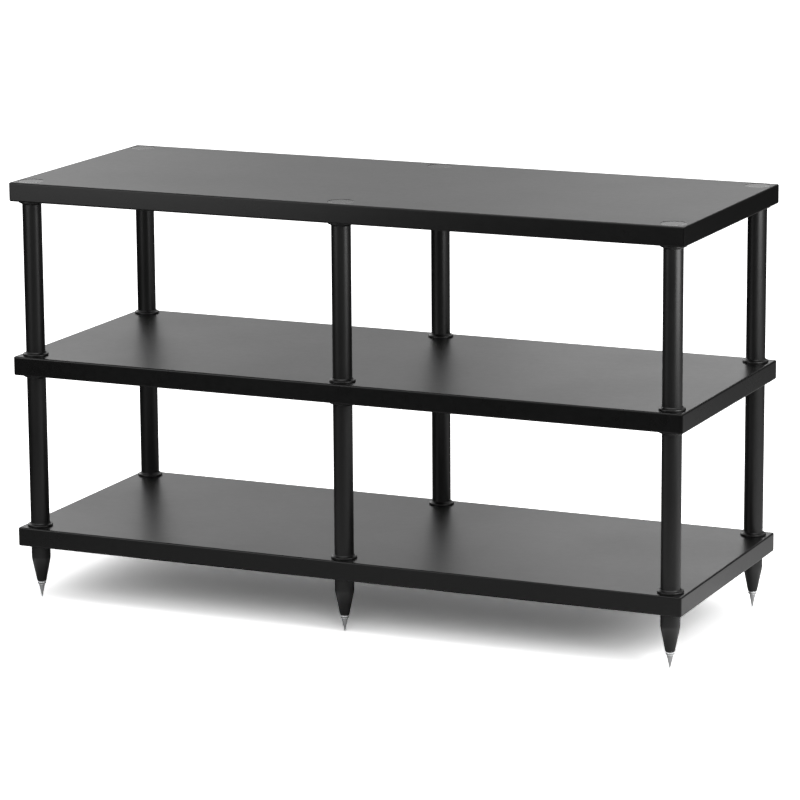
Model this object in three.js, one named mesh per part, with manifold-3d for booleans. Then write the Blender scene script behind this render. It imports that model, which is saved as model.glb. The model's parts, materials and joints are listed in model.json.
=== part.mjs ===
// Audio equipment rack: three board shelves on six columns, each column a pair of tubes that a
// tie rod clamps between a cap in the top shelf and a cone foot with a levelling spike.
// Millimetres, +Z up. The origin is on the floor, under the middle of the rack.

import * as THREE from "three";
import { mergeVertices } from "three/addons/utils/BufferGeometryUtils.js";
import Module from "manifold-3d";

const wasm = await Module();
wasm.setup();

// Shelves
const shelfWidth = 1110;
const shelfDepth = 426;
const boardThickness = 30;
const bayHeight = 245; // clear height between two shelves
const arrisRadius = 2.5; // rounded edge all round the board
const cornerRadius = 3; // rounded vertical corner of the board

// Columns
const columnInset = 26; // from a column's axis to the shelf's edges
const tubeDiameter = 30;
const tubeWall = 2;

// Flanges at both ends of each tube
const flangeOverhang = 5; // past the tube's surface
const flangeEdge = 2.2; // height of the flange's upright edge
const flangeChamfer = 1;
const flangeHeight = 6; // up to where the flare meets the tube
const flangeFloor = 1.5; // plate across the tube's end
const tubeSeatClearance = 0.15; // round the tube, in the flange that it stands in
const seatRecessDepth = 0.3; // of the recess in a board that a flange stands in
const seatRecessClearance = 0.25; // round the flange, in its recess

// Tie rods
const rodDiameter = 8;
const rodClearance = 0.5; // round the rod, in boards and flanges
const rodEngagement = 22; // length of rod screwed into a cone foot
const blindEndClearance = 2; // from a rod's or shank's end to the end of its blind hole
const threadClearance = 0.12; // round a rod or shank, in the piece that it screws into

// Caps in the top shelf
const capDiameter = 39.4;
const capFaceDiameter = 33; // flat face inside the cap's bevelled rim
const capBevelDepth = 0.4;
const capThickness = 5;
const capSink = 0.2; // from the shelf's top face down to the cap's face
const capPocketClearance = 0.2;
const capBossDiameter = 13;
const capBossLength = 15; // under the cap's plate
const capBossClearance = 0.3;
const capThreadDepth = 12; // of the hole for the rod, up from the boss's end

// Cone feet
const footHeight = 60;
const footBarrelHeight = 21; // straight part under the shelf
const footShoulderHeight = 4.5; // rounding from the straight part to the taper
const footShoulderDrop = 0.7; // what the rounding takes off the radius
const footEndDiameter = 14.6;

// Lock rings and spikes
const lockRingDiameter = 13.6;
const lockRingHeight = 4.6;
const lockRingBevel = 0.6;
const screwFaceGap = 0.15; // between a lock ring and what it is tightened against
const shankDiameter = 8;
const spikeTravel = 10; // how far a spike screws out
const spikeEngagement = 14; // shank left in the foot when the spike is screwed out
const spikeHeadDiameter = 9.5;
const spikeHeadRim = 1.6; // straight part of the spike's head
const spikeHeadLength = 21.7;
const spikeTipDiameter = 1.2;

// Facets round a revolved piece
const columnSides = 16;
const footSides = 16;
const capSides = 16;
const lockRingSides = 14;
const spikeSides = 12;
const rodSides = 10;
const arrisSteps = 2;
const cornerSteps = 3;

const cutOverrun = 1; // how far a cutting solid runs past the face that it cuts

// Heights over the floor
const footTop = spikeHeadLength + lockRingHeight + 2 * screwFaceGap + footHeight;
const bottomShelfBase = footTop;
const middleShelfBase = bottomShelfBase + boardThickness + bayHeight;
const topShelfBase = middleShelfBase + boardThickness + bayHeight;

const columnX = shelfWidth / 2 - columnInset;
const columnY = shelfDepth / 2 - columnInset;
const columns = [
  ["front_left", -columnX, -columnY],
  ["front_middle", 0, -columnY],
  ["front_right", columnX, -columnY],
  ["rear_left", -columnX, columnY],
  ["rear_middle", 0, columnY],
  ["rear_right", columnX, columnY],
];

// Radii that more than one piece shares
const tubeRadius = tubeDiameter / 2;
const rodRadius = rodDiameter / 2;
const flangeRadius = tubeRadius + flangeOverhang;
const rodHoleRadius = clearBore(rodRadius, rodClearance, columnSides);

// Radius of a faceted bore whose flats still clear a shaft by the clearance.
function clearBore(shaftRadius, clearance, sides) {
  return (shaftRadius + clearance) / Math.cos(Math.PI / sides);
}

// Materials

function blackLacquer() {
  return new THREE.MeshStandardMaterial({ color: 0x1a1a1c, roughness: 0.32, metalness: 0 });
}

function blackTubeCoat() {
  return new THREE.MeshStandardMaterial({ color: 0x1b1b1d, roughness: 0.36, metalness: 0.1 });
}

function chromePlate() {
  return new THREE.MeshStandardMaterial({ color: 0xd9dadb, roughness: 0.12, metalness: 1 });
}

function zincSteel() {
  return new THREE.MeshStandardMaterial({ color: 0x9a9c9f, roughness: 0.4, metalness: 1 });
}

// Solids

// Turns a profile of [radius, height] points about Z. The profile is drawn anticlockwise, so that
// the material is on its left, and it closes on itself or on the axis.
function revolve(profile, sides) {
  const points = profile.map(([radius, height]) => new THREE.Vector2(radius, height));
  return new THREE.LatheGeometry(points, sides).rotateX(Math.PI / 2);
}

function closedProfile(points) {
  return [...points, points[0]];
}

function solidOf(geometry) {
  const bare = geometry.clone();
  bare.deleteAttribute("normal");
  bare.deleteAttribute("uv");
  const merged = mergeVertices(bare);
  const mesh = new wasm.Mesh({
    numProp: 3,
    vertProperties: merged.attributes.position.array,
    triVerts: new Uint32Array(merged.index.array),
  });
  return new wasm.Manifold(mesh);
}

function geometryOf(solid) {
  const { vertProperties, triVerts } = solid.getMesh();
  const geometry = new THREE.BufferGeometry();
  geometry.setAttribute("position", new THREE.BufferAttribute(vertProperties, 3));
  geometry.setIndex(new THREE.BufferAttribute(triVerts, 1));
  geometry.computeVertexNormals();
  return geometry;
}

// An upright prism with its axis at x, y and its ends at two heights, to cut with.
function cutter(x, y, radius, low, high, sides) {
  const geometry = new THREE.CylinderGeometry(radius, radius, high - low, sides);
  geometry.rotateX(Math.PI / 2).translate(x, y, (low + high) / 2);
  return solidOf(geometry);
}

// A board with its underside at height 0, its arris rounded all round.
function plainBoard() {
  const x = shelfWidth / 2;
  const y = shelfDepth / 2;
  const r = cornerRadius;
  const outline = new THREE.Shape();
  outline.moveTo(-x + r, -y);
  outline.lineTo(x - r, -y);
  outline.absarc(x - r, -y + r, r, -Math.PI / 2, 0);
  outline.lineTo(x, y - r);
  outline.absarc(x - r, y - r, r, 0, Math.PI / 2);
  outline.lineTo(-x + r, y);
  outline.absarc(-x + r, y - r, r, Math.PI / 2, Math.PI);
  outline.lineTo(-x, -y + r);
  outline.absarc(-x + r, -y + r, r, Math.PI, 1.5 * Math.PI);
  const geometry = new THREE.ExtrudeGeometry(outline, {
    depth: boardThickness - 2 * arrisRadius,
    curveSegments: cornerSteps,
    bevelThickness: arrisRadius,
    bevelSize: arrisRadius,
    bevelOffset: -arrisRadius,
    bevelSegments: arrisSteps,
  });
  return solidOf(geometry.translate(0, 0, arrisRadius));
}

// A board with the tie rods' holes.
function drilledBoard() {
  let board = plainBoard();
  for (const [, x, y] of columns) {
    const top = boardThickness + cutOverrun;
    board = board.subtract(cutter(x, y, rodHoleRadius, -cutOverrun, top, columnSides));
  }
  return board;
}

// A board that carries columns: each stands in a shallow recess.
function recessedBoard() {
  const recessRadius = clearBore(flangeRadius, seatRecessClearance, columnSides);
  const recessFloor = boardThickness - seatRecessDepth;
  const top = boardThickness + cutOverrun;
  let board = drilledBoard();
  for (const [, x, y] of columns) {
    board = board.subtract(cutter(x, y, recessRadius, recessFloor, top, columnSides));
  }
  return board;
}

// The top board, which takes the caps' bosses and plates.
function pocketedBoard() {
  const bossRadius = clearBore(capBossDiameter / 2, capBossClearance, capSides);
  const plateRadius = clearBore(capDiameter / 2, capPocketClearance, capSides);
  const pocketFloor = boardThickness - capSink - capThickness;
  const bossFloor = pocketFloor - capBossLength - blindEndClearance;
  const top = boardThickness + cutOverrun;
  let board = drilledBoard();
  for (const [, x, y] of columns) {
    board = board.subtract(cutter(x, y, bossRadius, bossFloor, top, capSides));
    board = board.subtract(cutter(x, y, plateRadius, pocketFloor, top, capSides));
  }
  return board;
}

// A flange that a tube stands in, with its underside at height 0.
function seatFlange() {
  const seatRadius = tubeRadius + tubeSeatClearance;
  return revolve(
    closedProfile([
      [rodHoleRadius, 0],
      [flangeRadius, 0],
      [flangeRadius, flangeEdge],
      [flangeRadius - flangeChamfer, flangeEdge + flangeChamfer],
      [seatRadius, flangeHeight],
      [seatRadius, flangeFloor],
      [rodHoleRadius, flangeFloor],
    ]),
    columnSides,
  );
}

// A tube with its flange welded to the upper end. Its lower end is at height 0.
function flangedTube() {
  const length = bayHeight + seatRecessDepth - flangeFloor;
  const innerRadius = tubeRadius - tubeWall;
  return revolve(
    closedProfile([
      [innerRadius, 0],
      [tubeRadius, 0],
      [tubeRadius, length - flangeHeight],
      [flangeRadius - flangeChamfer, length - flangeEdge - flangeChamfer],
      [flangeRadius, length - flangeEdge],
      [flangeRadius, length],
      [rodHoleRadius, length],
      [rodHoleRadius, length - flangeFloor],
      [innerRadius, length - flangeFloor],
    ]),
    columnSides,
  );
}

// A cap with its face at height 0: a plate with a bevelled rim, over a threaded boss.
function topCap() {
  const threadRadius = clearBore(rodRadius, threadClearance, capSides);
  const bossEnd = -capThickness - capBossLength;
  return revolve(
    [
      [0, bossEnd + capThreadDepth],
      [threadRadius, bossEnd + capThreadDepth],
      [threadRadius, bossEnd],
      [capBossDiameter / 2, bossEnd],
      [capBossDiameter / 2, -capThickness],
      [capDiameter / 2, -capThickness],
      [capDiameter / 2, -capBevelDepth],
      [capFaceDiameter / 2, 0],
      [0, 0],
    ],
    capSides,
  );
}

// A tie rod with its lower end at height 0.
function tieRod(length) {
  return new THREE.CylinderGeometry(rodRadius, rodRadius, length, rodSides)
    .rotateX(Math.PI / 2)
    .translate(0, 0, length / 2);
}

// A cone foot with its top face at height 0, blind threaded holes in both ends.
function coneFoot() {
  const rodBore = clearBore(rodRadius, threadClearance, footSides);
  const shankBore = clearBore(shankDiameter / 2, threadClearance, footSides);
  const rodBoreEnd = -rodEngagement - blindEndClearance;
  const shankBoreEnd = -footHeight + spikeEngagement + spikeTravel + blindEndClearance;
  const endRadius = footEndDiameter / 2;
  const shoulderEnd = footBarrelHeight + footShoulderHeight;
  return revolve(
    [
      [0, shankBoreEnd],
      [shankBore, shankBoreEnd],
      [shankBore, -footHeight],
      [endRadius, -footHeight],
      [tubeRadius - footShoulderDrop, -shoulderEnd],
      [tubeRadius, -footBarrelHeight],
      [tubeRadius, 0],
      [rodBore, 0],
      [rodBore, rodBoreEnd],
      [0, rodBoreEnd],
    ],
    footSides,
  );
}

// A lock ring with its lower face at height 0.
function lockRing() {
  const bore = clearBore(shankDiameter / 2, threadClearance, lockRingSides);
  const radius = lockRingDiameter / 2;
  return revolve(
    closedProfile([
      [bore, 0],
      [radius - lockRingBevel, 0],
      [radius, lockRingBevel],
      [radius, lockRingHeight - lockRingBevel],
      [radius - lockRingBevel, lockRingHeight],
      [bore, lockRingHeight],
    ]),
    lockRingSides,
  );
}

// A spike with its tip at height 0 and its threaded shank on top.
function spike() {
  const headRadius = spikeHeadDiameter / 2;
  const shankRadius = shankDiameter / 2;
  const inFoot = spikeEngagement + spikeTravel;
  const shankTop = spikeHeadLength + lockRingHeight + 2 * screwFaceGap + inFoot;
  return revolve(
    [
      [0, 0],
      [spikeTipDiameter / 2, 0],
      [headRadius, spikeHeadLength - spikeHeadRim],
      [headRadius, spikeHeadLength],
      [shankRadius, spikeHeadLength],
      [shankRadius, shankTop],
      [0, shankTop],
    ],
    spikeSides,
  );
}

// Assembly

function piece(name, geometry, material, height) {
  const mesh = new THREE.Mesh(geometry, material);
  mesh.name = name;
  mesh.position.z = height;
  return mesh;
}

function shelves() {
  const group = new THREE.Group();
  const board = geometryOf(recessedBoard());
  const topBoard = geometryOf(pocketedBoard());
  group.add(piece("bottom_shelf", board, blackLacquer(), bottomShelfBase));
  group.add(piece("middle_shelf", board, blackLacquer(), middleShelfBase));
  group.add(piece("top_shelf", topBoard, blackLacquer(), topShelfBase));
  return group;
}

// Everything on one column's axis.
function column(place, x, y) {
  const group = new THREE.Group();
  group.position.set(x, y, 0);
  const lowerBase = bottomShelfBase + boardThickness - seatRecessDepth;
  const upperBase = middleShelfBase + boardThickness - seatRecessDepth;
  for (const [level, base] of [["lower", lowerBase], ["upper", upperBase]]) {
    const tubeName = `${level}_tube_${place}`;
    group.add(piece(`${level}_flange_${place}`, seatFlange(), blackTubeCoat(), base));
    group.add(piece(tubeName, flangedTube(), blackTubeCoat(), base + flangeFloor));
  }
  const capFace = topShelfBase + boardThickness - capSink;
  const rodBase = footTop - rodEngagement;
  const rodTop = capFace - capThickness - capBossLength + capThreadDepth - blindEndClearance;
  group.add(piece(`tie_rod_${place}`, tieRod(rodTop - rodBase), zincSteel(), rodBase));
  group.add(piece(`top_cap_${place}`, topCap(), blackTubeCoat(), capFace));
  group.add(foot(place));
  return group;
}

function foot(place) {
  const group = new THREE.Group();
  const ringBase = spikeHeadLength + screwFaceGap;
  group.add(piece(`cone_foot_${place}`, coneFoot(), blackTubeCoat(), footTop));
  group.add(piece(`lock_ring_${place}`, lockRing(), chromePlate(), ringBase));
  group.add(piece(`spike_${place}`, spike(), chromePlate(), 0));
  return group;
}

const rack = new THREE.Group();
rack.add(shelves());
for (const [place, x, y] of columns) {
  rack.add(column(place, x, y));
}

export default rack;
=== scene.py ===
# Audio equipment rack: its fine surfaces, and a studio round it.
# Metres, +Z up, the front faces -Y.

import json
import math

import bmesh
import bpy
from mathutils import Matrix, Vector

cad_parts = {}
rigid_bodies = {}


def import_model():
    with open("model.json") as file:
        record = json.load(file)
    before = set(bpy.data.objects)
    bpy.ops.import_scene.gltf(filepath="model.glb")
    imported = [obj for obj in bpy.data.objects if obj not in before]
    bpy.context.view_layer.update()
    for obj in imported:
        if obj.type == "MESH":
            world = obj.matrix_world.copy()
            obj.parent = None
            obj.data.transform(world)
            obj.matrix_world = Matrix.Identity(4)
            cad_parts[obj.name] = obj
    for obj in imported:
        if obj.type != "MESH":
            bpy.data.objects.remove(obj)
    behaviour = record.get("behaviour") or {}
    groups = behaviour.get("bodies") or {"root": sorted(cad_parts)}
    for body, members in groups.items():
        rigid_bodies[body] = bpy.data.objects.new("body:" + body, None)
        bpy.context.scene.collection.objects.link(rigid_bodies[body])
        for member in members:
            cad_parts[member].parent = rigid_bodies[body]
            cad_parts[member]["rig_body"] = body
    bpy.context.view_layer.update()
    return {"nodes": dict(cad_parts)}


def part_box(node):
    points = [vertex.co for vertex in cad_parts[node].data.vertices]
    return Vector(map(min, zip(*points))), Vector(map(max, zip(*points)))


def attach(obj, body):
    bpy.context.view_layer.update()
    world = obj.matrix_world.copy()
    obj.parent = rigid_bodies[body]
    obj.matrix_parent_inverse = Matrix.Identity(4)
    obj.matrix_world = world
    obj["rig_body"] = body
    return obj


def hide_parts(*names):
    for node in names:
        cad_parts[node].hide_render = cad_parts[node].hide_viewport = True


MM = 0.001

# Camera: placed by a least-squares fit of the rack's edges to the photograph
CAMERA_AZIMUTH = math.radians(24.08)
CAMERA_ELEVATION = math.radians(12.235)
CAMERA_ROLL = math.radians(-0.378)
CAMERA_DISTANCE = 6.0147
CAMERA_LENS_MM = 173.86
CAMERA_SENSOR_MM = 36
CAMERA_FAR = 100
TARGET_X = 0.01141
TARGET_OVER_BOTTOM_SHELF = 0.20924

# Boards
ARRIS_RADIUS = 2.5 * MM
CORNER_RADIUS = 3 * MM
ARRIS_STEPS = 6
CORNER_STEPS = 6
ROD_HOLE_RADIUS = 4.5 * MM
SEAT_RECESS_DEPTH = 0.3 * MM
SEAT_RECESS_CLEARANCE = 0.25 * MM
CAP_POCKET_CLEARANCE = 0.2 * MM
POCKET_CHAMFER = 0.15 * MM
CAP_BOSS_HOLE_RADIUS = 6.8 * MM
CAP_BOSS_HOLE_DEPTH = 17 * MM
CUT_OVERRUN = 1 * MM

# Columns
TUBE_WALL = 2 * MM
FLANGE_RIM = 3.2 * MM
FLANGE_RIM_TOP_RADIUS = 1.4 * MM
FLANGE_RIM_FOOT_RADIUS = 0.7 * MM
FLANGE_HEIGHT = 6 * MM
FLANGE_FLOOR = 1.5 * MM
FLARE_HOLLOW = 0.6
FLARE_ROUNDING = 2.5 * MM
FLARE_STEPS = 5
SEAT_CLEARANCE = 0.15 * MM

# Caps
CAP_FACE_RADIUS = 16.5 * MM
CAP_BEVEL_DEPTH = 0.12 * MM
CAP_EDGE_ROUNDING = 0.15 * MM
CAP_FACE_ROUNDING = 20 * MM
CAP_PLATE = 5 * MM
CAP_BOSS_RADIUS = 6.5 * MM
CAP_THREAD_DEPTH = 12 * MM

# Cone feet
FOOT_BARREL = 21 * MM
FOOT_SHOULDER_HEIGHT = 4.5 * MM
FOOT_SHOULDER_DROP = 0.7 * MM
FOOT_SHOULDER_ROUNDING = 12 * MM
FOOT_END_RADIUS = 7.3 * MM
FOOT_EDGE_ROUNDING = 0.4 * MM
FOOT_ROUNDING_STEPS = 6
FOOT_ROD_BORE_DEPTH = 24 * MM
FOOT_SPIKE_BORE_DEPTH = 26 * MM

# Lock rings and spikes
RING_BEVEL = 0.6 * MM
RING_BORE_BEVEL = 0.25 * MM
SHANK_RADIUS = 4 * MM
SHANK_GAP = 0.12 * MM
SPIKE_HEAD_RIM = 1.6 * MM
SPIKE_HEAD_LENGTH = 21.7 * MM
SPIKE_HEAD_ROUNDING = 0.3 * MM
SPIKE_RIM_ROUNDING = 1.5 * MM
SPIKE_TIP_RADIUS = 0.6 * MM
SPIKE_TIP_ROUNDING = 0.3 * MM
THREAD_PITCH = 1.25 * MM
THREAD_DEPTH = 0.65 * MM
THREAD_MIDDLE = 0.5
THREAD_SWING = 0.65
THREAD_ROWS = 10
THREAD_SIDES = 36

# Meshes
ROUND_SIDES = 96
SMALL_SIDES = 64
ROUNDING_STEPS = 4
LONGEST_ROUNDING = 0.49
WELD_DISTANCE = 0.0005 * MM
FLAT_FACE_WEIGHT = 100
SMOOTH_ANGLE = math.radians(34)

# Looks: a pattern is a noise's (scale, detail, roughness), a pair is (least, most),
# and limits are where a change starts and ends

# Lacquer on the boards
LACQUER_CLOUD = (5.0, 3.0, 0.5)
LACQUER_RUBBED = (90.0, 5.0, 0.65)
LACQUER_PEEL = (420.0, 1.5, 0.5)
LACQUER_RIPPLE = (60.0, 2.0, 0.5)
LACQUER_TONES = (0.0015, 0.003)
LACQUER_ROUGHNESS = (0.25, 0.31)
LACQUER_IOR = 1.5
RUBBED_LIMITS = (0.35, 0.75)
RUBBED_ROUGHNESS = (-0.02, 0.03)
PEEL_DEPTH = 0.012 * MM
RIPPLE_DEPTH = 0.05 * MM
WIDE_FACE_DULLER = 0.065
WIDE_FACE_LIMITS = (0.9, 0.99)

# Black coat on the columns and feet, and the smoother one on the caps
COAT_CLOUD = (14.0, 2.0, 0.5)
COAT_PIMPLE = (1300.0, 1.0, 0.5)
COAT_WAVE = (260.0, 1.0, 0.5)
COAT_TONES = (0.002, 0.004)
COAT_ROUGHNESS = (0.33, 0.41)
COAT_IOR = 1.6
CAP_COAT_ROUGHNESS = (0.2, 0.26)
CAP_COAT_IOR = 1.48
PIMPLE_ROUGHNESS = (-0.03, 0.03)
PIMPLE_DEPTH = 0.008 * MM
WAVE_DEPTH = 0.02 * MM

# Chrome and zinc
CHROME_LINES = (5200.0, 3.0, 0.7)
CHROME_HAZE = (320.0, 3.0, 0.5)
CHROME_TONES = (0.74, 0.84)
CHROME_WARMTH = -0.01
CHROME_ROUGHNESS = (0.07, 0.15)
LINE_ROUGHNESS = (-0.02, 0.03)
LINE_DEPTH = 0.004 * MM
ZINC_SPANGLE = (240.0, 4.0, 0.5)
ZINC_TONES = (0.46, 0.6)
ZINC_WARMTH = 0.02
ZINC_ROUGHNESS = (0.28, 0.46)
ROLLED_THREAD_DEPTH = 0.3 * MM

# Studio: a curve is a row of stops, (place in metres or degrees, brightness)
FLOOR_HALF_SIZE = 40
FLOOR_TONE = 0.9
FLOOR_TONE_SEEN = 2.08
FILL = 0.8
# Where the painted floor light on the right starts and ends across
PAINTED_LIGHT_BESIDE_LIMITS = (0.3, 0.65)
# Painted pool of light on the floor in front of the rack, and painted shade under it, seen only in
# reflections: brightness by depth
PAINTED_FLOOR_LIGHT_BY_DEPTH = (
    (-2.6, 0.03),
    (-1.8, 0.04),
    (-1.3, 0.1),
    (-0.62, 0.43),
    (-0.42, 0.42),
    (-0.3, 0.2),
    (0.3, 0.2),
    (2.0, 0.15),
    (3.0, 0.0),
)
# Painted shade next to each spike and a painted bright ring round each foot, seen only in
# reflections
PAINTED_LIGHT_AND_SHADE_ROUND_FOOT = (
    (0.0, 0.4),
    (0.032, 0.4),
    (0.05, 0.0),
    (0.092, 0.0),
    (0.108, 1.6),
    (0.126, 1.6),
    (0.142, 0.0),
)
# Painted light on the floor behind on the right, seen only in reflections
PAINTED_FLOOR_LIGHT_ON_RIGHT = (
    (-0.5, 0.1),
    (-0.1, 0.85),
    (0.2, 0.85),
    (0.6, 0.66),
    (1.4, 0.24),
    (2.1, 0.2),
    (3.2, 0.05),
)
# Painted floor light across, which narrows the painted pool above
PAINTED_FLOOR_LIGHT_ACROSS = (
    (-1.3, 0.05),
    (-0.6, 0.8),
    (-0.4, 1.0),
    (0.9, 1.0),
    (1.8, 0.0),
)
ROOM_DIM = 0.07
ROOM_GLOW = 0.35
ROOM_LOW_LIMITS = (0.1, 0.3)
ROOM_HIGH_LIMITS = (0.25, 0.5)
WALL_LIMITS = (0.1, 0.5)
WALL_BRIGHTEST = 2.2
WALL_FOOT_LIMITS = (0.12, 0.26)
WALL_HEAD_LIMITS = (0.24, 0.52)
WALL_LEAN = 0.9
WALL_LEAN_LIMITS = (0.215, 0.27)
WALL_BY_HEADING = (
    (-80, 0.6),
    (-42, 1.6),
    (-31, 1.25),
    (-24, 0.47),
    (-18, 1.08),
    (-15.5, 1.04),
    (-6.5, 0.0),
)

# Lamps: location, target, size and power in watts
LAMPS = {
    "overhead": ((0.2, -0.3, 3.0), (0.1, 0, 0), (2.6, 2.2), 22),
    "right_box": ((1.4, -0.42, 0.78), (0.0, -0.42, 0.78), (0.85, 0.76), 7.4),
    "right_card": ((0.95, -0.3, 0.6), (0.0, -0.3, 0.6), (0.3, 0.3), 0.5),
    "left_box": ((-1.02, -1.43, 0.94), (-0.02, -0.08, 0.94), (0.95, 1.1), 4.3),
    "floor_box": ((0.65, -1.5, 1.05), (0.25, -0.2, 0), (1.2, 0.8), 4.4),
    "front_strip": ((0.0, -0.95, 0.72), (0.0, 0.0, 0.72), (1.7, 0.5), 0.45),
    "rear_box": ((0.1, 1.35, 0.58), (0.1, 0.0, 0.58), (0.9, 0.3), 0.27),
}

PLACES = (
    "front_left",
    "front_middle",
    "front_right",
    "rear_left",
    "rear_middle",
    "rear_right",
)

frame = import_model()


# Materials


class Nodes:
    """A short way to write a material's or world's node tree."""

    def __init__(self, owner):
        owner.use_nodes = True
        self.tree = owner.node_tree
        self.tree.nodes.clear()

    def add(self, kind, inputs=None, **settings):
        node = self.tree.nodes.new(kind)
        for name, value in settings.items():
            setattr(node, name, value)
        for socket, value in (inputs or {}).items():
            self.put(node.inputs[socket], value)
        return node

    def put(self, socket, value):
        if isinstance(value, bpy.types.NodeSocket):
            self.tree.links.new(value, socket)
        else:
            socket.default_value = value

    def math(self, operation, a, b=0.0, clamp=False):
        node = self.add("ShaderNodeMath", {0: a, 1: b}, operation=operation, use_clamp=clamp)
        return node.outputs[0]

    def noise(self, vector, pattern):
        scale, detail, roughness = pattern
        node = self.add(
            "ShaderNodeTexNoise",
            {"Vector": vector, "Scale": scale, "Detail": detail, "Roughness": roughness},
        )
        return node.outputs["Fac"]

    def spread(self, value, low, high, start=0.0, end=1.0):
        """Goes from low to high while the value goes from start to end, and stays there."""
        node = self.add(
            "ShaderNodeMapRange",
            {"Value": value, "From Min": start, "From Max": end, "To Min": low, "To Max": high},
        )
        return node.outputs[0]

    def ease(self, value, low, high, start, end):
        """Goes from low to high as spread does, but along a smooth S."""
        node = self.add(
            "ShaderNodeMapRange",
            {"Value": value, "From Min": start, "From Max": end, "To Min": low, "To Max": high},
            interpolation_type="SMOOTHSTEP",
        )
        return node.outputs[0]

    def steps(self, value, stops):
        """A straight-line curve through stops of (value, result)."""
        start, end = stops[0][0], stops[-1][0]
        place = self.spread(value, 0.0, 1.0, start, end)
        node = self.add("ShaderNodeValToRGB", {"Fac": place})
        ramp = node.color_ramp.elements
        for index, (at, result) in enumerate(stops):
            if index > 1:
                ramp.new(1.0)
            ramp[index].position = (at - start) / (end - start)
            ramp[index].color = grey(result)
        return node.outputs["Color"]

    def bump(self, height, depth, normal=None):
        inputs = {"Height": height, "Distance": depth, "Strength": 1.0}
        if normal is not None:
            inputs["Normal"] = normal
        return self.add("ShaderNodeBump", inputs).outputs[0]

    def mix(self, factor, a, b):
        return self.add("ShaderNodeMix", {"Factor": factor, "A": a, "B": b}).outputs["Result"]

    def blend(self, factor, a, b):
        node = self.add(
            "ShaderNodeMix", {"Factor": factor, "A": a, "B": b}, data_type="RGBA"
        )
        return node.outputs["Result"]


def new_material(name):
    material = bpy.data.materials.new(name)
    return material, Nodes(material)


def place_on_piece(nodes):
    return nodes.add("ShaderNodeTexCoord").outputs["Object"]


def z_of(nodes, vector):
    return nodes.add("ShaderNodeSeparateXYZ", {"Vector": vector}).outputs["Z"]


def finish_material(nodes, kind, inputs):
    shader = nodes.add(kind, inputs)
    nodes.add("ShaderNodeOutputMaterial", {"Surface": shader.outputs[0]})


def grey(value, warmth=0.0):
    return (value * (1 + warmth), value, value * (1 - warmth), 1.0)


def lacquer_material():
    """Black semi-gloss lacquer on board: orange peel and faint rubbing marks.
    The wide faces are duller than the edges."""
    material, nodes = new_material("board_lacquer")
    place = place_on_piece(nodes)
    facing = nodes.add("ShaderNodeTexCoord").outputs["Normal"]
    level = nodes.math("ABSOLUTE", z_of(nodes, facing))
    wide_face = nodes.spread(level, 0.0, WIDE_FACE_DULLER, *WIDE_FACE_LIMITS)
    cloud = nodes.noise(place, LACQUER_CLOUD)
    rubbed = nodes.noise(place, LACQUER_RUBBED)
    marks = nodes.spread(rubbed, 0.0, 1.0, *RUBBED_LIMITS)
    dark, light = LACQUER_TONES
    tone = nodes.blend(marks, grey(dark), grey(light))
    rough = nodes.spread(cloud, *LACQUER_ROUGHNESS)
    rough = nodes.math("ADD", rough, nodes.spread(rubbed, *RUBBED_ROUGHNESS))
    rough = nodes.math("ADD", rough, wide_face)
    normal = nodes.bump(nodes.noise(place, LACQUER_RIPPLE), RIPPLE_DEPTH)
    normal = nodes.bump(nodes.noise(place, LACQUER_PEEL), PEEL_DEPTH, normal)
    finish_material(
        nodes,
        "ShaderNodeBsdfPrincipled",
        {"Base Color": tone, "Roughness": rough, "IOR": LACQUER_IOR, "Normal": normal},
    )
    return material


def coat_material(name, roughness, ior):
    """Satin black powder coat: fine even pimples and a slow drift in gloss."""
    material, nodes = new_material(name)
    place = place_on_piece(nodes)
    cloud = nodes.noise(place, COAT_CLOUD)
    pimple = nodes.noise(place, COAT_PIMPLE)
    dark, light = COAT_TONES
    tone = nodes.blend(cloud, grey(dark), grey(light))
    rough = nodes.spread(cloud, *roughness)
    rough = nodes.math("ADD", rough, nodes.spread(pimple, *PIMPLE_ROUGHNESS))
    normal = nodes.bump(nodes.noise(place, COAT_WAVE), WAVE_DEPTH)
    normal = nodes.bump(pimple, PIMPLE_DEPTH, normal)
    finish_material(
        nodes,
        "ShaderNodeBsdfPrincipled",
        {"Base Color": tone, "Roughness": rough, "IOR": ior, "Normal": normal},
    )
    return material


def chrome_material():
    """Polished chrome with the fine turning lines of the steel under it."""
    material, nodes = new_material("chrome_plate")
    place = place_on_piece(nodes)
    upright = nodes.add("ShaderNodeCombineXYZ", {"Z": z_of(nodes, place)}).outputs[0]
    lines = nodes.noise(upright, CHROME_LINES)
    haze = nodes.noise(place, CHROME_HAZE)
    dark, light = CHROME_TONES
    tone = nodes.blend(haze, grey(dark, CHROME_WARMTH), grey(light, CHROME_WARMTH))
    rough = nodes.spread(haze, *CHROME_ROUGHNESS)
    rough = nodes.math("ADD", rough, nodes.spread(lines, *LINE_ROUGHNESS))
    normal = nodes.bump(lines, LINE_DEPTH)
    finish_material(
        nodes,
        "ShaderNodeBsdfPrincipled",
        {"Base Color": tone, "Metallic": 1.0, "Roughness": rough, "Normal": normal},
    )
    return material


def zinc_material():
    """Bright zinc with the bands of a rolled thread."""
    material, nodes = new_material("zinc_steel")
    place = place_on_piece(nodes)
    turns = nodes.math("MULTIPLY", z_of(nodes, place), math.tau / THREAD_PITCH)
    spangle = nodes.noise(place, ZINC_SPANGLE)
    dark, light = ZINC_TONES
    tone = nodes.blend(spangle, grey(dark, ZINC_WARMTH), grey(light))
    rough = nodes.spread(spangle, *ZINC_ROUGHNESS)
    normal = nodes.bump(nodes.math("SINE", turns), ROLLED_THREAD_DEPTH)
    finish_material(
        nodes,
        "ShaderNodeBsdfPrincipled",
        {"Base Color": tone, "Metallic": 1.0, "Roughness": rough, "Normal": normal},
    )
    return material


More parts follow.
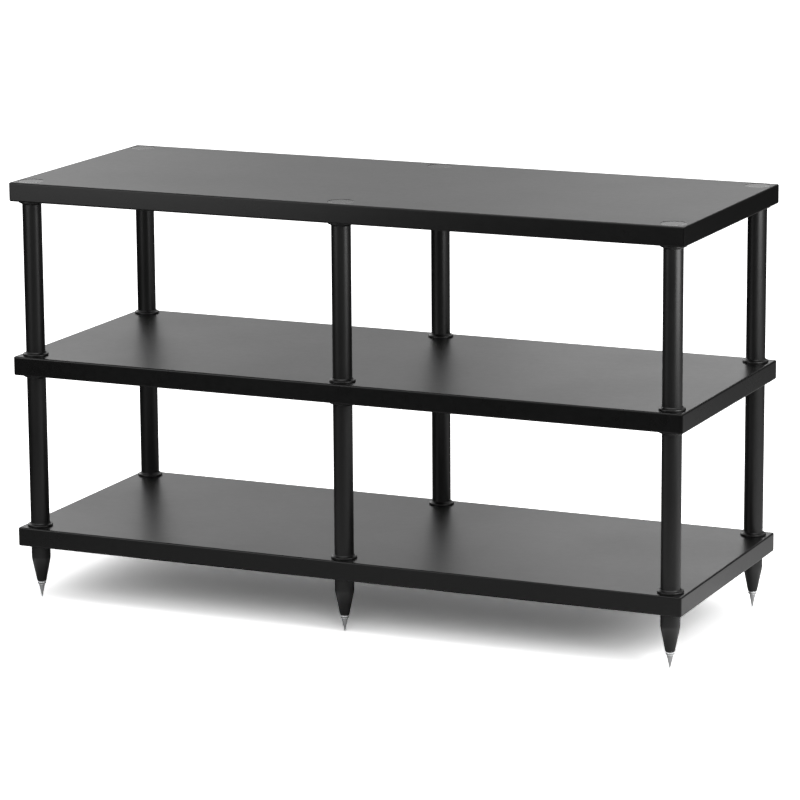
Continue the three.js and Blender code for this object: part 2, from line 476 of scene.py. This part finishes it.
LACQUER = lacquer_material()
COAT = coat_material("black_coat", COAT_ROUGHNESS, COAT_IOR)
CAP_COAT = coat_material("black_coat_smooth", CAP_COAT_ROUGHNESS, CAP_COAT_IOR)
CHROME = chrome_material()
ZINC = zinc_material()


# Meshes


def in_scene(name, data):
    piece = bpy.data.objects.new(name, data)
    bpy.context.scene.collection.objects.link(piece)
    return piece


def mesh_of(name, bm, material):
    mesh = bpy.data.meshes.new(name)
    bm.to_mesh(mesh)
    bm.free()
    mesh.materials.append(material)
    return mesh


def shade_smooth(mesh):
    """Smooth shading, up to the smoothing angle."""
    mesh.polygons.foreach_set("use_smooth", [True] * len(mesh.polygons))
    mesh.set_sharp_from_angle(angle=SMOOTH_ANGLE)


def object_of(name, bm, material):
    bmesh.ops.remove_doubles(bm, verts=bm.verts, dist=WELD_DISTANCE)
    bmesh.ops.recalc_face_normals(bm, faces=bm.faces)
    mesh = mesh_of(name, bm, material)
    shade_smooth(mesh)
    return in_scene(name, mesh)


def keep_flats_flat(piece):
    """Shades each big face flat right up to the roundings beside it."""
    modifier = piece.modifiers.new("flats", "WEIGHTED_NORMAL")
    modifier.keep_sharp = True
    modifier.weight = FLAT_FACE_WEIGHT


def stand_for(piece, node):
    """The piece takes the node's place, on the node's body."""
    body = frame["nodes"][node]["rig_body"]
    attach(piece, body)
    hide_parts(node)
    return piece


def ring_of(bm, centre, height, radii):
    """Vertices at one height round the centre (x, y), one for each radius."""
    ring = []
    for step, radius in enumerate(radii):
        angle = math.tau * step / len(radii)
        x = centre[0] + radius * math.cos(angle)
        y = centre[1] + radius * math.sin(angle)
        ring.append(bm.verts.new((x, y, height)))
    return ring


def revolved(profile, centre, sides=ROUND_SIDES, closed=False):
    """A profile of (radius, height) turned about an upright axis through centre (x, y)."""
    bm = bmesh.new()
    rings = []
    for radius, height in profile:
        if radius == 0:
            rings.append([bm.verts.new((*centre, height))])
        else:
            rings.append(ring_of(bm, centre, height, [radius] * sides))
    pairs = list(zip(rings, rings[1:]))
    if closed:
        pairs.append((rings[-1], rings[0]))
    for low, high in pairs:
        join_rings(bm, low, high, sides)
    return bm


def join_rings(bm, low, high, sides):
    """Faces between two rings of vertices. A ring of one vertex is a point on the axis."""
    for step in range(sides):
        following = (step + 1) % sides
        corners = [low[step % len(low)], low[following % len(low)]]
        corners += [high[following % len(high)], high[step % len(high)]]
        distinct = list(dict.fromkeys(corners))
        if len(distinct) > 2:
            bm.faces.new(distinct)


def rounded(profile, steps=ROUNDING_STEPS):
    """The profile, rounded at the inner points that hold a radius as a third number."""
    points = []
    for index, point in enumerate(profile):
        here = Vector(point[:2])
        radius = point[2] if len(point) > 2 else 0
        if radius == 0 or index in (0, len(profile) - 1):
            points.append(tuple(here))
            continue
        before = Vector(profile[index - 1][:2]) - here
        after = Vector(profile[index + 1][:2]) - here
        longest = LONGEST_ROUNDING * min(before.length, after.length)
        reach = min(radius / math.tan(before.angle(after) / 2), longest)
        start = here + before.normalized() * reach
        end = here + after.normalized() * reach
        for step in range(steps + 1):
            t = step / steps
            mixed = start * (1 - t) ** 2 + here * (2 * t * (1 - t)) + end * t**2
            points.append(tuple(mixed))
    return points


def axis_of(node):
    low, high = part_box(node)
    return (low.x + high.x) / 2, (low.y + high.y) / 2


def radius_of(node):
    low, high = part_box(node)
    return (high.x - low.x) / 2


# Boards


def board_outline(low, high, inset):
    """Points round a board's rounded rectangle, inset from its full size."""
    radius = CORNER_RADIUS - inset
    middle = (low + high) / 2
    corners = (
        (high.x, high.y, 0),
        (low.x, high.y, 1),
        (low.x, low.y, 2),
        (high.x, low.y, 3),
    )
    points = []
    for x, y, quarter in corners:
        centre_x = x - math.copysign(CORNER_RADIUS, x - middle.x)
        centre_y = y - math.copysign(CORNER_RADIUS, y - middle.y)
        for step in range(CORNER_STEPS + 1):
            angle = math.pi / 2 * (quarter + step / CORNER_STEPS)
            along = radius * math.cos(angle)
            across = radius * math.sin(angle)
            points.append((centre_x + along, centre_y + across))
    return points


def plain_board(low, high):
    """A board with rounded corners and arrises, before its holes are cut."""
    bm = bmesh.new()
    levels = []
    for step in range(ARRIS_STEPS + 1):
        turn = math.pi / 2 * step / ARRIS_STEPS
        inset = ARRIS_RADIUS * (1 - math.sin(turn))
        rise = ARRIS_RADIUS * (1 - math.cos(turn))
        levels.append((inset, rise))
    rings = [(inset, low.z + rise) for inset, rise in levels]
    rings += [(inset, high.z - rise) for inset, rise in reversed(levels)]
    loops = []
    for inset, height in rings:
        outline = board_outline(low, high, inset)
        loops.append([bm.verts.new((x, y, height)) for x, y in outline])
    for under, over in zip(loops, loops[1:]):
        join_rings(bm, under, over, len(under))
    bm.faces.new(loops[0])
    bm.faces.new(loops[-1])
    return bm


def cut(piece, tool):
    """Takes the tool's solid out of the piece's mesh, and removes the tool."""
    modifier = piece.modifiers.new("cut", "BOOLEAN")
    modifier.operation = "DIFFERENCE"
    modifier.solver = "EXACT"
    modifier.object = tool
    graph = bpy.context.evaluated_depsgraph_get()
    made = bpy.data.meshes.new_from_object(piece.evaluated_get(graph))
    old = piece.data
    piece.modifiers.clear()
    piece.data = made
    made.name = old.name
    bpy.data.meshes.remove(old)
    bpy.data.objects.remove(tool)


def hole_profile(node, top):
    """What is cut out of a board round one column's axis: (radius, height) points."""
    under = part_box(node)[0].z - CUT_OVERRUN
    over = top + CUT_OVERRUN
    if node == "top_shelf":
        cap = radius_of("top_cap_front_left") + CAP_POCKET_CLEARANCE
        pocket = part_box("top_cap_front_left")[1].z - CAP_PLATE
        boss = pocket - CAP_BOSS_HOLE_DEPTH
        return [
            (0, under),
            (ROD_HOLE_RADIUS, under),
            (ROD_HOLE_RADIUS, boss),
            (CAP_BOSS_HOLE_RADIUS, boss),
            (CAP_BOSS_HOLE_RADIUS, pocket),
            (cap, pocket),
            (cap, top - POCKET_CHAMFER),
            (cap + POCKET_CHAMFER + CUT_OVERRUN, over),
            (0, over),
        ]
    seat = radius_of("lower_flange_front_left") + SEAT_RECESS_CLEARANCE
    recess = top - SEAT_RECESS_DEPTH
    return [
        (0, under),
        (ROD_HOLE_RADIUS, under),
        (ROD_HOLE_RADIUS, recess),
        (seat, recess),
        (seat, over),
        (0, over),
    ]


def board(node):
    low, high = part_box(node)
    piece = object_of(f"{node}_board", plain_board(low, high), LACQUER)
    for place in PLACES:
        profile = hole_profile(node, high.z)
        bm = revolved(profile, axis_of(f"top_cap_{place}"), SMALL_SIDES)
        cut(piece, object_of("cutter", bm, LACQUER))
    shade_smooth(piece.data)
    keep_flats_flat(piece)
    return stand_for(piece, node)


# Columns


def flange_profile(tube, rim, base, direction):
    """Points over a flange's rounded rim and up a hollow slope to the tube's surface."""
    shoulder = rim - FLANGE_RIM_TOP_RADIUS
    hollow = (
        shoulder + (tube - shoulder) * FLARE_HOLLOW,
        FLANGE_RIM + (FLANGE_HEIGHT - FLANGE_RIM) * (1 - FLARE_HOLLOW),
    )
    outline = [
        (ROD_HOLE_RADIUS, 0),
        (rim, 0, FLANGE_RIM_FOOT_RADIUS),
        (rim, FLANGE_RIM, FLANGE_RIM_TOP_RADIUS),
        (*hollow, FLARE_ROUNDING),
        (tube, FLANGE_HEIGHT),
    ]
    points = rounded(outline, FLARE_STEPS)
    return [(radius, base + direction * height) for radius, height in points]


def seat_flange(level, place):
    """The loose flange that the foot of a tube stands in."""
    node = f"{level}_flange_{place}"
    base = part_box(node)[0].z
    seat = radius_of(f"cone_foot_{place}") + SEAT_CLEARANCE
    profile = flange_profile(seat, radius_of(node), base, 1)
    profile += [(seat, base + FLANGE_FLOOR), (ROD_HOLE_RADIUS, base + FLANGE_FLOOR)]
    bm = revolved(profile, axis_of(node), closed=True)
    piece = object_of(f"{node}_ring", bm, COAT)
    return stand_for(piece, node)


def flanged_tube(level, place):
    """A tube with the flange at its upper end."""
    node = f"{level}_tube_{place}"
    low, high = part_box(node)
    tube = radius_of(f"cone_foot_{place}")
    bore = tube - TUBE_WALL
    floor_height = high.z - FLANGE_FLOOR
    profile = [(bore, low.z), (tube, low.z)]
    profile += reversed(flange_profile(tube, radius_of(node), high.z, -1))
    profile += [(ROD_HOLE_RADIUS, floor_height), (bore, floor_height)]
    bm = revolved(profile, axis_of(node), closed=True)
    piece = object_of(f"{node}_coated", bm, COAT)
    return stand_for(piece, node)


def top_cap(place):
    node = f"top_cap_{place}"
    low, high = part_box(node)
    rim = radius_of(node)
    plate = high.z - CAP_PLATE
    bore = SHANK_RADIUS + SHANK_GAP
    profile = [
        (0, low.z + CAP_THREAD_DEPTH),
        (bore, low.z + CAP_THREAD_DEPTH),
        (bore, low.z),
        (CAP_BOSS_RADIUS, low.z),
        (CAP_BOSS_RADIUS, plate),
        (rim, plate),
        (rim, high.z - CAP_BEVEL_DEPTH, CAP_EDGE_ROUNDING),
        (CAP_FACE_RADIUS, high.z, CAP_FACE_ROUNDING),
        (0, high.z),
    ]
    bm = revolved(rounded(profile), axis_of(node))
    piece = object_of(f"{node}_turned", bm, CAP_COAT)
    keep_flats_flat(piece)
    return stand_for(piece, node)


def cone_foot(place):
    node = f"cone_foot_{place}"
    low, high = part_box(node)
    radius = radius_of(node)
    bore = SHANK_RADIUS + SHANK_GAP
    barrel = high.z - FOOT_BARREL
    spike_bore = low.z + FOOT_SPIKE_BORE_DEPTH
    rod_bore = high.z - FOOT_ROD_BORE_DEPTH
    profile = [
        (0, spike_bore),
        (bore, spike_bore),
        (bore, low.z),
        (FOOT_END_RADIUS, low.z, FOOT_EDGE_ROUNDING),
        (radius - FOOT_SHOULDER_DROP, barrel - FOOT_SHOULDER_HEIGHT, FOOT_SHOULDER_ROUNDING),
        (radius, barrel, FOOT_SHOULDER_ROUNDING),
        (radius, high.z, FOOT_EDGE_ROUNDING),
        (bore, high.z),
        (bore, rod_bore),
        (0, rod_bore),
    ]
    bm = revolved(rounded(profile, FOOT_ROUNDING_STEPS), axis_of(node))
    piece = object_of(f"{node}_turned", bm, COAT)
    return stand_for(piece, node)


def lock_ring(place):
    node = f"lock_ring_{place}"
    low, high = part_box(node)
    radius = radius_of(node)
    bore = SHANK_RADIUS + SHANK_GAP
    middle = (low.z + high.z) / 2
    profile = [
        (bore, middle),
        (bore, low.z, RING_BORE_BEVEL),
        (radius, low.z, RING_BEVEL),
        (radius, high.z, RING_BEVEL),
        (bore, high.z, RING_BORE_BEVEL),
        (bore, middle),
    ]
    bm = revolved(rounded(profile), axis_of(node), SMALL_SIDES)
    piece = object_of(f"{node}_turned", bm, CHROME)
    return stand_for(piece, node)


def spike(place):
    node = f"spike_{place}"
    low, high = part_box(node)
    radius = radius_of(node)
    head = low.z + SPIKE_HEAD_LENGTH
    profile = [
        (0, low.z),
        (SPIKE_TIP_RADIUS, low.z, SPIKE_TIP_ROUNDING),
        (radius, head - SPIKE_HEAD_RIM, SPIKE_RIM_ROUNDING),
        (radius, head, SPIKE_HEAD_ROUNDING),
        (SHANK_RADIUS - THREAD_DEPTH, head),
        (0, head),
    ]
    bm = revolved(rounded(profile), axis_of(node), SMALL_SIDES)
    add_thread(bm, axis_of(node), head, high.z)
    piece = object_of(f"{node}_turned", bm, CHROME)
    return stand_for(piece, node)


def thread_radius(height, step, fade):
    """The threaded shank's radius at a height over its base, and a step round it."""
    turn = math.tau * (height / THREAD_PITCH - step / THREAD_SIDES)
    crest = min(1.0, max(0.0, THREAD_MIDDLE + THREAD_SWING * math.cos(turn)))
    return SHANK_RADIUS - THREAD_DEPTH * (1 - crest * fade)


def add_thread(bm, centre, base, top):
    """A threaded shank with flat ends. The thread fades out over its first and last turn."""
    rows = round((top - base) / THREAD_PITCH * THREAD_ROWS)
    rings = []
    for row in range(rows + 1):
        height = base + (top - base) * row / rows
        fade = min(1.0, (height - base) / THREAD_PITCH, (top - height) / THREAD_PITCH)
        radii = [thread_radius(height - base, step, fade) for step in range(THREAD_SIDES)]
        rings.append(ring_of(bm, centre, height, radii))
    for under, over in zip(rings, rings[1:]):
        join_rings(bm, under, over, THREAD_SIDES)
    bm.faces.new(rings[0])
    bm.faces.new(rings[-1])


TOPS = [board(shelf) for shelf in ("bottom_shelf", "middle_shelf", "top_shelf")]
for place in PLACES:
    for level in ("lower", "upper"):
        seat_flange(level, place)
        flanged_tube(level, place)
    TOPS.append(top_cap(place))
    cone_foot(place)
    lock_ring(place)
    spike(place)
    rod = frame["nodes"][f"tie_rod_{place}"]
    rod.data.materials.clear()
    rod.data.materials.append(ZINC)


# Studio


def from_foot(nodes, parts):
    """How far a point of the floor is from the nearest foot's axis."""
    foot_x, foot_y = axis_of("spike_front_right")
    middle_x = nodes.math("ABSOLUTE", parts["X"])
    outer_x = nodes.math("ABSOLUTE", nodes.math("SUBTRACT", middle_x, abs(foot_x)))
    across = nodes.math("MINIMUM", middle_x, outer_x)
    along = nodes.math("SUBTRACT", nodes.math("ABSOLUTE", parts["Y"]), abs(foot_y))
    away = nodes.add("ShaderNodeCombineXYZ", {"X": across, "Y": along}).outputs[0]
    return nodes.add("ShaderNodeVectorMath", {0: away}, operation="LENGTH").outputs["Value"]


def painted_floor_reflection(nodes):
    """How bright the floor is in reflections, as painted light and shade: a painted bright ring
    round each foot with painted shade next to the spike, painted light dimmer in front, and
    painted light far behind on the right."""
    place = nodes.add("ShaderNodeNewGeometry").outputs["Position"]
    parts = nodes.add("ShaderNodeSeparateXYZ", {"Vector": place}).outputs
    # Painted pool of light in front of the rack and painted shade under it
    under = nodes.steps(parts["Y"], PAINTED_FLOOR_LIGHT_BY_DEPTH)
    under = nodes.math("MULTIPLY", under, nodes.steps(parts["X"], PAINTED_FLOOR_LIGHT_ACROSS))
    # Painted shade next to each spike and a painted bright ring round each foot
    under = nodes.math("MAXIMUM", under, nodes.steps(from_foot(nodes, parts), PAINTED_LIGHT_AND_SHADE_ROUND_FOOT))
    # Painted light behind on the right
    beside = nodes.steps(parts["Y"], PAINTED_FLOOR_LIGHT_ON_RIGHT)
    to_right = nodes.spread(parts["X"], 0.0, 1.0, *PAINTED_LIGHT_BESIDE_LIMITS)
    beside = nodes.math("MULTIPLY", beside, to_right)
    return nodes.math("MAXIMUM", under, beside)


def floor_material():
    """Pale floor. The camera sees it brighter than it lights the rack: white, with its shadows."""
    material, nodes = new_material("studio_floor")
    path = nodes.add("ShaderNodeLightPath")
    camera_ray = nodes.math(
        "ADD", path.outputs["Is Camera Ray"], path.outputs["Is Transmission Ray"], clamp=True
    )
    # In reflections the floor shows painted light and shade in place of its plain tone
    reflected = nodes.math("MULTIPLY", painted_floor_reflection(nodes), FLOOR_TONE)
    glossy_ray = path.outputs["Is Glossy Ray"]
    tone = nodes.mix(glossy_ray, FLOOR_TONE, reflected)
    tone = nodes.mix(camera_ray, tone, FLOOR_TONE_SEEN)
    finish_material(nodes, "ShaderNodeBsdfDiffuse", {"Color": tone})
    return material


def floor():
    size = FLOOR_HALF_SIZE
    bm = bmesh.new()
    corners = [(-size, -size, 0), (size, -size, 0), (size, size, 0), (-size, size, 0)]
    bm.faces.new([bm.verts.new(corner) for corner in corners])
    piece = in_scene("floor", mesh_of("floor", bm, floor_material()))
    return piece


def sky():
    """White for the camera, an even fill for the object, and in reflections a bright wall
    behind the rack and a dim room in front of it."""
    world = bpy.data.worlds.new("studio")
    bpy.context.scene.world = world
    nodes = Nodes(world)
    path = nodes.add("ShaderNodeLightPath")
    seen = nodes.math("ADD", path.outputs["Is Camera Ray"], path.outputs["Is Transmission Ray"])
    direction = nodes.add("ShaderNodeTexCoord").outputs["Generated"]
    parts = nodes.add("ShaderNodeSeparateXYZ", {"Vector": direction}).outputs
    behind = nodes.spread(parts["Y"], 0.0, 1.0, *WALL_LIMITS)
    lean = nodes.spread(parts["Z"], 0.0, WALL_LEAN, *WALL_LEAN_LIMITS)
    heading = nodes.math("DEGREES", nodes.math("ARCTAN2", parts["X"], parts["Y"]))
    heading = nodes.math("ADD", heading, lean)
    wall = nodes.math("MULTIPLY", behind, nodes.steps(heading, WALL_BY_HEADING))
    foot = nodes.ease(parts["Z"], 0.0, WALL_BRIGHTEST, *WALL_FOOT_LIMITS)
    head = nodes.ease(parts["Z"], 1.0, 0.0, *WALL_HEAD_LIMITS)
    wall = nodes.math("MULTIPLY", wall, nodes.math("MULTIPLY", foot, head))
    in_front = nodes.math("SUBTRACT", 1.0, behind)
    low = nodes.spread(parts["Z"], 0.0, 1.0, *ROOM_LOW_LIMITS)
    low = nodes.math("MULTIPLY", in_front, low)
    high = nodes.spread(parts["Z"], 0.0, 1.0, *ROOM_HIGH_LIMITS)
    glow = nodes.math("MAXIMUM", low, high)
    room = nodes.spread(glow, ROOM_DIM, ROOM_DIM + ROOM_GLOW)
    reflected = nodes.math("ADD", wall, room)
    level = nodes.mix(path.outputs["Is Glossy Ray"], FILL, reflected)
    level = nodes.mix(seen, level, 1.0)
    light = nodes.add("ShaderNodeBackground", {"Color": grey(1.0), "Strength": level})
    nodes.add("ShaderNodeOutputWorld", {"Surface": light.outputs[0]})
    world.cycles.sampling_method = "NONE"


def lamp(name, location, target, size, power):
    data = bpy.data.lights.new(name, "AREA")
    data.shape = "RECTANGLE"
    data.size, data.size_y = size
    data.energy = power
    piece = in_scene(name, data)
    piece.location = location
    aim = Vector(target) - Vector(location)
    piece.rotation_mode = "QUATERNION"
    piece.rotation_quaternion = aim.to_track_quat("-Z", "Y")
    piece.visible_camera = False
    return piece


def link_lamps(name, state, pieces, lamps):
    """Lights only the pieces by these lamps (INCLUDE), or all but the pieces (EXCLUDE)."""
    group = bpy.data.collections.new(name)
    for piece in pieces:
        group.objects.link(piece)
    for entry in group.collection_objects:
        entry.light_linking.link_state = state
    for piece in lamps:
        piece.light_linking.receiver_collection = group


def camera():
    data = bpy.data.cameras.new("camera")
    data.sensor_width = CAMERA_SENSOR_MM
    data.lens = CAMERA_LENS_MM
    data.clip_end = CAMERA_FAR
    piece = in_scene("camera", data)
    shelf_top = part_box("bottom_shelf")[1].z
    target = Vector((TARGET_X, 0, shelf_top + TARGET_OVER_BOTTOM_SHELF))
    flat = math.cos(CAMERA_ELEVATION)
    back_x = math.sin(CAMERA_AZIMUTH) * flat
    back_y = -math.cos(CAMERA_AZIMUTH) * flat
    back = Vector((back_x, back_y, math.sin(CAMERA_ELEVATION)))
    level = (-back).cross(Vector((0, 0, 1))).normalized()
    upward = back.cross(level)
    right = level * math.cos(CAMERA_ROLL) + upward * math.sin(CAMERA_ROLL)
    up = upward * math.cos(CAMERA_ROLL) - level * math.sin(CAMERA_ROLL)
    turned = Matrix((right, up, back)).transposed().to_4x4()
    turned.translation = target + back * CAMERA_DISTANCE
    piece.matrix_world = turned
    bpy.context.scene.camera = piece


ground = floor()
sky()
lamps = {name: lamp(name, *setting) for name, setting in LAMPS.items()}
link_lamps("tops", "EXCLUDE", TOPS, (lamps["right_box"], lamps["right_card"]))
link_lamps("not_ground", "EXCLUDE", (ground,), (lamps["left_box"],))
link_lamps("ground", "INCLUDE", (ground,), (lamps["floor_box"],))
camera()
bpy.context.scene.view_settings.view_transform = "Standard"

bpy.context.view_layer.update()
